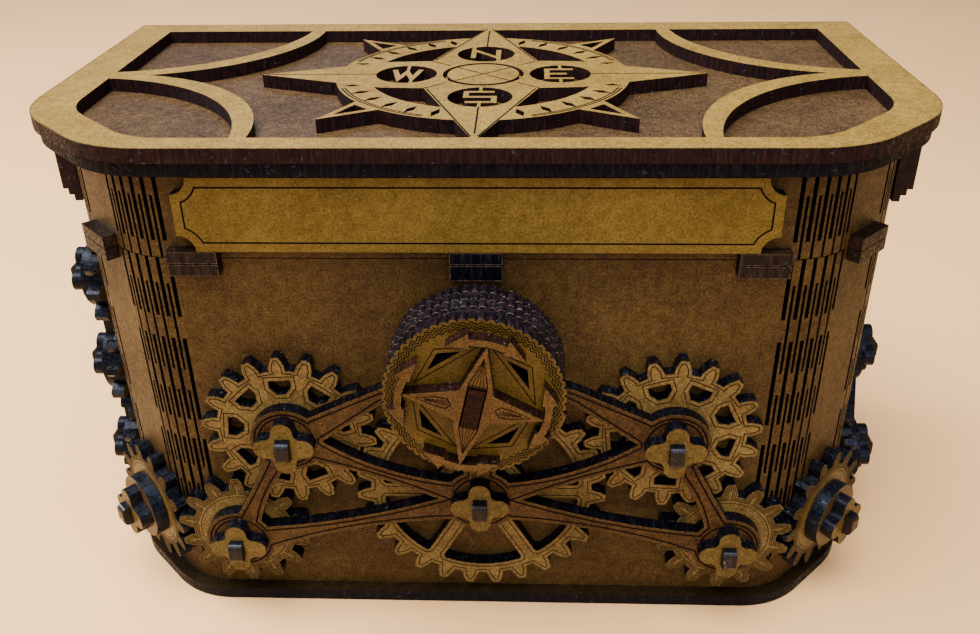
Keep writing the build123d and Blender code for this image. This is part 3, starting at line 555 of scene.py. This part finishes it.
rose_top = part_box("compass_rose")[1].z
rose_y = -1.85 * mm
north_tip, side_tip = 40.8 * mm, 49.5 * mm
valley_x, valley_y = 12.5 * mm, 11.0 * mm
letter_place, letter_hole = 17.4 * mm, 6.9 * mm
disc_edge, disc_gap = 8.0 * mm, 1.3
arm_foot_in, arm_foot_up, arm_tip_out, arm_tip_up = 0.7 * mm, 0.5 * mm, 0.7 * mm, 1.6 * mm
ring_radii, ring_from, ring_to = (32.3 * mm, 31.6 * mm), 20, 70
rose_lines = []


def rose_line(start, end):
    """Straight line on the rose, both ends measured from its middle."""
    rose_lines.append(([(start[0], rose_y + start[1]), (end[0], rose_y + end[1])], False))


near = disc_edge / math.hypot(valley_x, valley_y)
for way in (-1, 1):
    rose_line((0, way * (letter_place + letter_hole)), (0, way * north_tip))
    rose_line((way * (letter_place + letter_hole), 0), (way * side_tip, 0))
    for flip in (-1, 1):
        x, y = flip * valley_x, way * valley_y
        rose_line((x, y), (x * near * disc_gap, y * near * disc_gap))
        rose_line((x * near, y * near), (0, 0))
for sx in (-1, 1):
    for sy in (-1, 1):
        # The long arms lie over the ring: their sides are drawn on from the valley
        foot = (sx * (valley_x - arm_foot_in), sy * (valley_y + arm_foot_up))
        rose_line(foot, (sx * arm_tip_out, sy * (north_tip + arm_tip_up)))
for k in range(4):
    for radius in ring_radii:
        rose_lines.append(ring_line(0, rose_y, radius, 90 * k + ring_from, 90 * k + ring_to, 24))
lay_ribbons("rose_facet_lines", rose_lines, z_way, rose_top, "lid", width=0.36 * mm)
loops, depth = front_loops("lid_fret", z_way)
lid_edge = [loop for loop in loops if np.ptp(loop[:, 0]) > 180 * mm]
# Painted highlight along the outer edge of the fret
draw_edge_highlights("lid_fret_painted_highlight_edge", loops, z_way, depth, "lid", lid_edge, inset=0.12, width=0.18)

# Plaque on the front of the lid
# A bare plate of fibreboard with notched corners, stained golden olive and glued on the front.
# The laser has burnt a border 2 mm inside its edge.

gold_faces = ("#3E2F09", "#4F4015", "#5F5024")
border_inset, border_width = 2.0 * mm, 0.35 * mm
# Golden olive stain: even and smooth, a shade greener than the gears
gold_stain = stained_board("golden_stained_fibreboard_front", y_way, gold_faces, black_char)
dress(gold_stain, "plaque")
loops, depth = front_loops("plaque", front_way)
border = inner_lines(loops, border_inset)
lay_ribbons("plaque_border", border, front_way, depth, "lid", width=border_width)

# Stepped plaques on the sides of the lid
# Three thin boards, each smaller than the one behind, glued in a stack under the overhang.
# They are stained walnut brown, and the outer one has the same burnt border.

# The walnut stain of the walls, between cuts charred plum brown
side_stain = stained_board("brown_stained_fibreboard_side", x_way, brown_faces, plum_char)
dress(side_stain, "left_side_plaque", "right_side_plaque")
for side, way in (("left", left_way), ("right", right_way)):
    loops, depth = front_loops(side + "_side_plaque", way)
    name = side + "_side_plaque_border"
    lay_ribbons(name, inner_lines(loops, border_inset), way, depth, "lid", width=border_width)

# Blocks at the seam and the catch
# Small blocks cut from fibreboard and glued along both sides of the seam, stained umber.
# The two of the catch, over the magnets, are charred black all over.

block_faces = ("#080402", "#180E08", "#2A2013")
block_char = ("#0C0704", "#1A110B", "#2A1E15")
# Umber stain, nearly as dark as char, with a low satin shine
block_name = "umber_stained_fibreboard_blocks"
block_stain = stained_board(block_name, z_way, block_faces, block_char, (0.4, 0.35), 0.1)
# Char all over: black, with a few glossy spots
catch_stain = stained_board("charred_fibreboard_catch", z_way, black_char, black_char, (0.3, 0.25), 0.06)
dress(block_stain, "upper_seam_blocks", "lower_seam_blocks")
dress(catch_stain, "upper_catch", "lower_catch")
# Painted highlight: grey lines along their front edges
block_edge_highlight = line_finish("painted_highlight_block_edge", ("#120D0A", "#4A4038"))
block_rows = (
    ("upper_catch", "lid"),
    ("lower_catch", "box"),
    ("upper_seam_blocks", "lid"),
    ("lower_seam_blocks", "box"),
)
for name, body in block_rows:
    loops, depth = front_loops(name, front_way)
    name += "_rubbed_edges"
    draw_edge_highlights(name, loops, front_way, depth, body, material=block_edge_highlight)

# Gears
# Each is cut from 3 mm board, stained golden brown, with burnt contour lines that follow the teeth.
# The laser leaves the flanks of the teeth glossy black.

gear_faces = ("#3A2B11", "#52421F", "#675630")


def gear_stain(name, way):
    """Golden stain: matt faces between glossy black flanks, the same on every gear."""
    return stained_board(name, way, gear_faces, black_char, (0.42, 0.22), 0.18)


gear_y_stain = gear_stain("golden_stained_fibreboard_gears", y_way)
gear_x_stain = gear_stain("golden_stained_fibreboard_side_gears", x_way)
gear_corner_stain = gear_stain("golden_stained_fibreboard_corner_gears", corner_way)
# Burnt lightly: dark brown, so that close lines do not run together
fine_line = line_finish("burnt_line_fine", ("#0A0502", "#1C1008"))
joint_places = {j["name"]: j["pos_m"] for j in frame["joints"]}
left_corner_way = (-corner_way[0], corner_way[1], 0)
# Distances of the contour lines from the edge of a gear, and how wide they are, in mm
spoked_lines, spoked_width = (0.9,), 0.22
window_tooth_line, window_line, window_width = 0.75, 0.95, 0.22
solid_lines, solid_width = (0.4, 0.8, 1.2), 0.18
hub_ring = 10.2 * mm
gear_rows = {
    "centre_gear": (front_way, gear_y_stain, spoked_lines, spoked_width),
    "upper_left_gear": (front_way, gear_y_stain, None, window_width),
    "upper_right_gear": (front_way, gear_y_stain, None, window_width),
    "lower_left_gear": (front_way, gear_y_stain, solid_lines, solid_width),
    "lower_right_gear": (front_way, gear_y_stain, solid_lines, solid_width),
    "left_corner_gear": (left_corner_way, gear_corner_stain, solid_lines, solid_width),
    "right_corner_gear": (corner_way, gear_corner_stain, solid_lines, solid_width),
    "left_low_side_gear": (left_way, gear_x_stain, solid_lines, solid_width),
    "left_middle_side_gear": (left_way, gear_x_stain, solid_lines, solid_width),
    "left_high_side_gear": (left_way, gear_x_stain, solid_lines, solid_width),
    "right_low_side_gear": (right_way, gear_x_stain, solid_lines, solid_width),
    "right_high_side_gear": (right_way, gear_x_stain, solid_lines, solid_width),
}
for name, (way, finish, distances, width) in gear_rows.items():
    dress(finish, name)
    loops, depth = front_loops(name, way)
    if distances:
        lines = [line for distance in distances for line in inner_lines(loops, distance * mm)]
    else:
        toothed = [loop for loop in loops if np.ptp(loop[:, 0]) > 30 * mm]
        windows = [loop for loop in loops if np.ptp(loop[:, 0]) < 7 * mm]
        lines = inner_lines(loops, window_tooth_line * mm, toothed)
        lines += inner_lines(loops, window_line * mm, windows)
    # Painted highlight along the edges of the gear's face
    draw_edge_highlights(name + "_rubbed_edges", loops, way, depth, name)
    if distances == solid_lines:
        across, up, out = plane_axes(way)
        axle = Vector(joint_places[name + "_spin"])
        lines.append(ring_line(axle.dot(across), axle.dot(up), hub_ring))
    lay_ribbons(name + "_lines", lines, way, depth, name, fine_line, width * mm)
dress(gear_y_stain, "knob_pinion")

# Axles
# Each gear turns on a round bushing of fibreboard, charred black, with a washer in front at the cut corners.
# A flat peg passes through the bushing and through a four-lobed golden nut that holds it.

peg_top = ("#030306", "#08070B", "#131218")
peg_side = ("#0A0502", "#150B05", "#22150A")
nut_faces = ("#33270A", "#493B17", "#594B27")
for place, way in (("front", y_way), ("corner", corner_way), ("side", x_way)):
    # Nuts as golden as the gears and a little duller, on bushings of glossy char
    nut_stain = stained_board("golden_stained_nuts_" + place, way, nut_faces, black_char, (0.45, 0.25), 0.14)
    bush_stain = stained_board("charred_bushings_" + place, way, black_char, black_char, (0.3, 0.25), 0.2)
    dress(nut_stain, place + "_nuts")
    dress(bush_stain, place + "_bushings")
    # Smoked by the laser: the top catches the light like black glass
    peg_stain = stained_board("smoked_pegs_" + place, z_way, peg_top, peg_side, (0.2, 0.32), 0.22)
    dress(peg_stain, place + "_pegs")
washer_faces = ("#2B1C0A", "#3D2B11", "#503F20")
washer_char = ("#020306", "#070910", "#101520")
# Smoky brown faces with a cool glossy rim
washer_name = "black_stained_washers"
washer_stain = stained_board(washer_name, corner_way, washer_faces, washer_char, (0.4, 0.25), 0.2)
dress(washer_stain, "corner_washers")

# Bridge plate and side links
# A shaped plate holds the outer ends of the front axles, and narrow links those of the side axles.
# Red brown stain, with a burnt line just inside the outline and a ring round each nut.

bridge_faces = ("#1D1306", "#35230E", "#4A351B")
bridge_name, link_name = "chestnut_stained_fibreboard_bridge", "chestnut_stained_fibreboard_links"
# Chestnut stain: redder and darker than the gears behind, with the same matt face
bridge_stain = stained_board(bridge_name, y_way, bridge_faces, black_char, (0.45, 0.22), 0.12)
link_stain = stained_board(link_name, x_way, bridge_faces, black_char, (0.45, 0.22), 0.12)
dress(bridge_stain, "bridge_plate")
dress(link_stain, "left_side_link", "right_side_link")
loops, depth = front_loops("bridge_plate", front_way)
# The slots of the pegs are shorter than this and get no line
wide_loop = 12 * mm
wide_loops = [loop for loop in loops if np.ptp(loop, axis=0).max() > wide_loop]
bridge_lines = inner_lines(wide_loops, 1.0 * mm)
nut_ring = 6.1 * mm
for gear in ("centre", "upper_left", "upper_right", "lower_left", "lower_right"):
    x, _, z = joint_places[gear + "_gear_spin"]
    bridge_lines.append(ring_line(x, z, nut_ring))
lay_ribbons("bridge_plate_lines", bridge_lines, front_way, depth, "box", width=0.38 * mm)
# Painted highlight along the edges of the bridge plate and of the front nuts
draw_edge_highlights("bridge_plate_rubbed_edges", loops, front_way, depth, "box", wide_loops)
loops, depth = front_loops("front_nuts", front_way)
draw_edge_highlights("front_nuts_rubbed_edges", loops, front_way, depth, "box")
for side, way in (("left", left_way), ("right", right_way)):
    loops, depth = front_loops(side + "_side_link", way)
    lines = inner_lines([loop for loop in loops if np.ptp(loop[:, 1]) > wide_loop], 0.9 * mm)
    lay_ribbons(side + "_side_link_lines", lines, way, depth, "box")

# Knob
# A stack of toothed discs on a keyed shaft; the face disc is golden with zigzag lines round its rim.
# A compass star with four anchor-shaped ends is glued on top, its facets burnt in.

knob_turn = math.radians(-12)
knob_x, _, knob_z = joint_places["knob_spin"]
knob_middle = (knob_x, knob_z)
knob_edge = ("#030204", "#0D080C", "#221A20")
rim_faces = ("#0C0605", "#190E0A", "#2B1B12")
knob_faces = ("#2B1E03", "#3F2F08", "#4F3E11")
star_faces = ("#2A1A06", "#402B0E", "#533D1C")
# Plum char with a strong sheen on the fine teeth, a golden face and an orange brown star
rim_stain = stained_board("plum_stained_fibreboard_rims", y_way, rim_faces, knob_edge, (0.4, 0.22), 0.4)
face_name, star_name = "golden_stained_fibreboard_knob_face", "chestnut_stained_fibreboard_star"
face_stain = stained_board(face_name, y_way, knob_faces, knob_edge, (0.45, 0.22), 0.18)
star_char = ("#0A0402", "#180B05", "#26140A")
star_stain = stained_board(star_name, y_way, star_faces, star_char, (0.42, 0.22), 0.18)
dress(rim_stain, "knob_rear_disc", "knob_second_disc", "knob_third_disc", "knob_plain_disc")
dress(bush_stain, "knob_shaft", "knob_retainer")
dress(face_stain, "knob_face_disc")
dress(star_stain, "knob_star")
key_faces = ("#080302", "#180A05", "#2A140A")
# Smoked dark red brown, nearly without shine
key_stain = stained_board("smoked_fibreboard_key", y_way, key_faces, black_char, (0.3, 0.22), 0.07)
dress(key_stain, "knob_key")


def on_knob(radius, angle):
    """Point on the knob's face, radius in mm and angle in degrees from its own east arm."""
    turn = knob_turn + math.radians(angle)
    return knob_x + radius * mm * math.cos(turn), knob_z + radius * mm * math.sin(turn)


def off_middle(loop):
    """How far the middle of a loop lies from the middle of the knob."""
    return np.hypot(*(loop.mean(axis=0) - knob_middle))


loops, depth = front_loops("knob_face_disc", front_way)
face_lines = []
# Three zigzag lines round the rim, one zigzag to each tooth, in mm
zig_count, zig_half = 60, 0.3
for radius in (17.0, 16.4, 15.8):
    zig = []
    for k in range(zig_count):
        middle = 360 * k / zig_count
        zig.append(on_knob(radius + zig_half, middle))
        zig.append(on_knob(radius - zig_half, middle + 180 / zig_count))
    face_lines.append((zig, True))
# The four windows have few corners and lie off the middle
holes = [loop for loop in loops if len(loop) < 12 and off_middle(loop) > 3 * mm]
face_lines += inner_lines(holes, 0.9 * mm)
lay_ribbons("knob_face_lines", face_lines, front_way, depth, "knob", width=0.2 * mm)
rim_loops = [loop for loop in loops if np.ptp(loop[:, 0]) > 30 * mm]
# Painted highlight along the toothed rim of the face disc
draw_edge_highlights("knob_face_painted_highlight_edge", loops, front_way, depth, "knob", rim_loops, width=0.16)

# Painted highlight: a thin pale line where the toothed discs meet
# It lies 0.03 mm off a rim of 18 mm radius
highlight_band, highlight_lift, disc_radius = 0.1 * mm, 0.03, 18
rim_edge_highlight = line_finish("painted_highlight_plum_rim", ("#1A1216", "#5A4A4A"))
for disc in ("knob_rear_disc", "knob_second_disc", "knob_third_disc"):
    loops, depth = front_loops(disc, front_way)
    ring = [loop for loop in loops if np.ptp(loop[:, 0]) > 30 * mm][0]
    ring = knob_middle + (ring - knob_middle) * (1 + highlight_lift / disc_radius)
    across, up, out = plane_axes(front_way)
    mesh = bmesh.new()
    rows = []
    for u, v in ring:
        lifts = (-highlight_band, highlight_band)
        rows.append([mesh.verts.new(across * u + up * v + out * (depth + lift)) for lift in lifts])
    for first, second in zip(rows, rows[1:] + rows[:1]):
        mesh.faces.new((first[0], second[0], second[1], first[1]))
    data = bpy.data.meshes.new(disc + "_painted_highlight_edge")
    mesh.to_mesh(data)
    data.materials.append(rim_edge_highlight)
    band = bpy.data.objects.new(disc + "_painted_highlight_edge", data)
    bpy.context.scene.collection.objects.link(band)
    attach(band, "knob")

loops, depth = front_loops("knob_star", front_way)
# Painted highlight along the edges of the star
draw_edge_highlights("knob_star_rubbed_edges", loops, front_way, depth, "knob")
# Painted shade: a dark line on the star's face all round the key's slot, for the shade in the gap round the
# key
slot_loops = [loop for loop in loops if off_middle(loop) < 1 * mm and np.ptp(loop[:, 0]) < 10 * mm]
key_shade_lines = inner_lines(loops, 0.16 * mm, slot_loops)
lay_ribbons("knob_key_painted_shade", key_shade_lines, front_way, depth, "knob", width=0.32 * mm)
star_lines = []
scratched = []
arm_tip, fan_foot, fan_places = 11.2, 4.9, (-1.9, -1.1, -0.35, 0.4, 1.15, 1.9)
leaf = ((4.3, 0.3), (5.2, 1.25), (7.6, 0.95), (arm_tip, 0.0), (7.6, -1.0), (5.2, -1.05))
hatch_start, hatch_step, hatch_half, hatch_rows = 5.0, 0.4, 0.16, (-0.45, 0.0, 0.45)


def on_arm(arm, along, across):
    """Point on an arm of the star: mm along it from the middle and across it."""
    turn = knob_turn + math.radians(90 * arm)
    u = math.cos(turn) * along - math.sin(turn) * across
    v = math.sin(turn) * along + math.cos(turn) * across
    return knob_x + u * mm, knob_z + v * mm


for arm in (1, 3):
    # An inset triangle with a fan of lines from its tip, in the upright arms
    tip = on_arm(arm, arm_tip, 0)
    foot = [on_arm(arm, fan_foot, across) for across in fan_places]
    star_lines.append(([tip, foot[0], foot[-1]], True))
    scratched += [([tip, point], False) for point in foot[1:-1]]
for arm in (0, 2):
    # A leaf with rough hatching that narrows to the tip, in the level arms
    star_lines.append(([on_arm(arm, *point) for point in leaf], True))
    for row in hatch_rows:
        wave = []
        for k in range(12):
            wave.append((hatch_start + hatch_step * k, row * (1 - k / 15) + hatch_half * (-1) ** k))
        scratched.append(([on_arm(arm, *point) for point in wave], False))
lay_ribbons("knob_star_lines", star_lines, front_way, depth, "knob", width=0.22 * mm)
lay_ribbons("knob_star_scratches", scratched, front_way, depth, "knob", fine_line, 0.14 * mm)

# Floor and light
# A plain pale table top, lit from above by a wide soft light, with a weaker fill from the front.

# Matt paint on a smooth top: no shine, and clouds of colour too faint to draw the eye
pale = bpy.data.materials.new("pale_matt_table")
pale.use_nodes = True
pale_tree = pale.node_tree
pale_tree.nodes.clear()
pale_place = add_node(pale_tree, "TexCoord")
pale_spot = pale_place.outputs["Object"]
pale_cloud = add_node(pale_tree, "TexNoise", {"Vector": pale_spot, "Scale": 1 / (250 * mm), "Detail": 2.0})
pale_tint = add_node(pale_tree, "ValToRGB", {0: pale_cloud.outputs[0]})
color_stops(pale_tint, ((0.3, "#CCA06A"), (0.7, "#D2A872")))
pale_shader = add_node(pale_tree, "BsdfPrincipled", {"Base Color": pale_tint.outputs[0], "Roughness": 0.7})
add_node(pale_tree, "OutputMaterial", {0: pale_shader.outputs[0]})
table_half, table_drop = 4.0, 0.0002
floor_mesh = bmesh.new()
bmesh.ops.create_grid(floor_mesh, x_segments=1, y_segments=1, size=table_half)
floor_data = bpy.data.meshes.new("table_top")
floor_mesh.to_mesh(floor_data)
floor_data.materials.append(pale)
table_top = bpy.data.objects.new("table_top", floor_data)
table_top.location = (0, 0, -table_drop)
bpy.context.scene.collection.objects.link(table_top)

room = bpy.data.worlds.new("soft_room")
bpy.context.scene.world = room
room.use_nodes = True
room_shade = room.node_tree.nodes["Background"]
room_shade.inputs[0].default_value = linear("#DDE1EA")
room_shade.inputs[1].default_value = 0.4


def soft_light(name, place, aim, width, length, power, color):
    """Rectangular soft light that points at aim; sizes in metres and power in watts."""
    lamp = bpy.data.lights.new(name, "AREA")
    lamp.shape = "RECTANGLE"
    lamp.size = width
    lamp.size_y = length
    lamp.energy = power
    lamp.color = linear(color)[:3]
    holder = bpy.data.objects.new(name, lamp)
    holder.location = place
    holder.rotation_euler = (Vector(aim) - Vector(place)).to_track_quat("-Z", "Y").to_euler()
    bpy.context.scene.collection.objects.link(holder)


box_middle = (0, 0, 0.05)
soft_light("overhead_light", (-0.17, -0.16, 0.85), box_middle, 0.9, 0.6, 35, "#FFF6EA")
soft_light("front_fill", (0.1, -0.9, 0.6), box_middle, 0.8, 0.5, 9, "#F6EFF4")
soft_light("side_window", (-0.85, 0.2, 0.45), (-0.25, 0.1, 0), 0.3, 0.3, 9, "#FFF4F0")
soft_light("window_light", (-0.2, 0.75, 0.75), box_middle, 0.3, 0.25, 3, "#A8C6FF")

# Camera
# It looks down on the front of the box from a little right of its middle, as in the photograph.

camera_place = Vector((10.11, -220.64, 178.85)) * mm
yaw, pitch, roll = math.radians(2.4686), math.radians(29.640), math.radians(-0.885)
forward = Vector((-math.sin(yaw) * math.cos(pitch), math.cos(yaw) * math.cos(pitch), -math.sin(pitch)))
level = Vector((math.cos(yaw), math.sin(yaw), 0))
above = level.cross(forward)
right = math.cos(roll) * level + math.sin(roll) * above
upward = -math.sin(roll) * level + math.cos(roll) * above
# Focal length and width of the photograph, in pixels
focal_pixels, photo_width = 974.22, 980
lens = bpy.data.cameras.new("camera")
lens.sensor_width = 36
lens.lens = lens.sensor_width * focal_pixels / photo_width
lens.clip_start = 0.01
lens.clip_end = 20
camera = bpy.data.objects.new("camera", lens)
camera.matrix_world = Matrix(
    (
        (right.x, upward.x, -forward.x, camera_place.x),
        (right.y, upward.y, -forward.y, camera_place.y),
        (right.z, upward.z, -forward.z, camera_place.z),
        (0, 0, 0, 1),
    )
)
bpy.context.scene.collection.objects.link(camera)
bpy.context.scene.camera = camera
